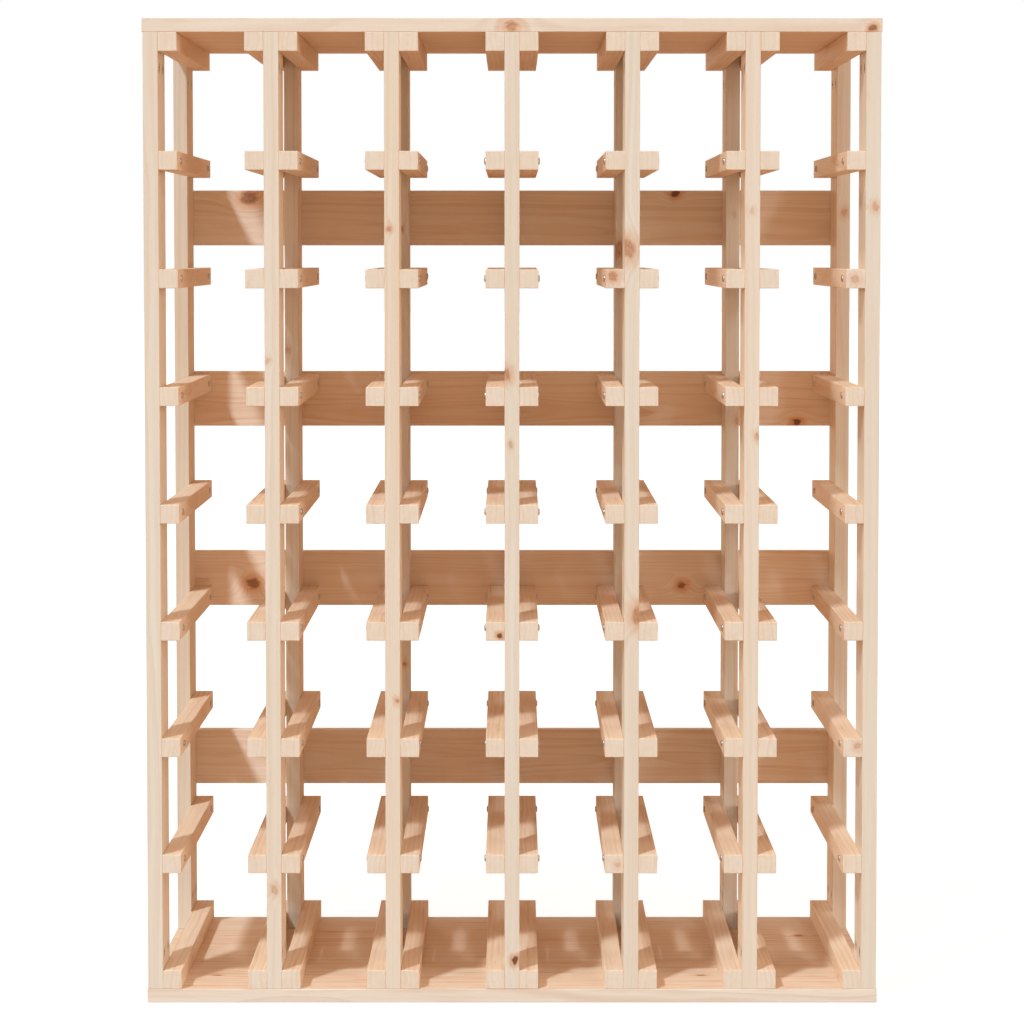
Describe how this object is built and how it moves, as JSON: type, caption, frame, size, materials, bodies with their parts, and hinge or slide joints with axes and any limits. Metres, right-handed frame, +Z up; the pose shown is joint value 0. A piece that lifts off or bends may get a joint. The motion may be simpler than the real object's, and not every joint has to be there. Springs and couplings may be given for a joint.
{
  "type": "wine rack",
  "caption": "Free-standing open pine rack that stores bottles on their sides, on square rails between a top board and a bottom board, braced by slats across the back.",
  "frame": {"origin": "on the floor, in the middle of the rack's overall width and depth", "axes": "+X to the right as seen from the front, +Y to the back, +Z up"},
  "size_m": [0.614, 0.3, 0.8248],
  "materials": {
    "pine_boards": "unvarnished pine, planed and sanded, grain along the width",
    "pine_uprights": "unvarnished pine, planed and sanded, grain up the height",
    "pine_rails": "unvarnished pine, planed and sanded, grain along the depth",
    "pine_slats": "unvarnished pine, planed and sanded, grain along the width",
    "screw_steel": "zinc-plated steel",
    "nut_zinc": "dull zinc",
    "dowel_wood": "plain beech dowel"
  },
  "bodies": {
    "root": {"top_board": "pine_boards", "bottom_board": "pine_boards", "front_upright_1": "pine_uprights", "front_upright_2": "pine_uprights", "front_upright_3": "pine_uprights", "front_upright_4": "pine_uprights", "front_upright_5": "pine_uprights", "front_upright_6": "pine_uprights", "front_upright_7": "pine_uprights", "back_upright_1": "pine_uprights", "back_upright_2": "pine_uprights", "back_upright_3": "pine_uprights", "back_upright_4": "pine_uprights", "back_upright_5": "pine_uprights", "back_upright_6": "pine_uprights", "back_upright_7": "pine_uprights", "column_1_left_rails": "pine_rails", "column_2_left_rails": "pine_rails", "column_3_left_rails": "pine_rails", "column_4_left_rails": "pine_rails", "column_5_left_rails": "pine_rails", "column_6_left_rails": "pine_rails", "column_1_right_rails": "pine_rails", "column_2_right_rails": "pine_rails", "column_3_right_rails": "pine_rails", "column_4_right_rails": "pine_rails", "column_5_right_rails": "pine_rails", "column_6_right_rails": "pine_rails", "back_slat_1": "pine_slats", "back_slat_2": "pine_slats", "back_slat_3": "pine_slats", "back_slat_4": "pine_slats", "rail_screws_1": "screw_steel", "rail_screws_2": "screw_steel", "rail_screws_3": "screw_steel", "rail_screws_4": "screw_steel", "rail_screws_5": "screw_steel", "rail_screws_6": "screw_steel", "rail_screws_7": "screw_steel", "slat_screws_1": "screw_steel", "slat_screws_2": "screw_steel", "slat_screws_3": "screw_steel", "slat_screws_4": "screw_steel", "top_bolts": "screw_steel", "bottom_bolts": "screw_steel", "barrel_nuts": "nut_zinc", "rail_dowels": "dowel_wood"}
  },
  "joints": []
}
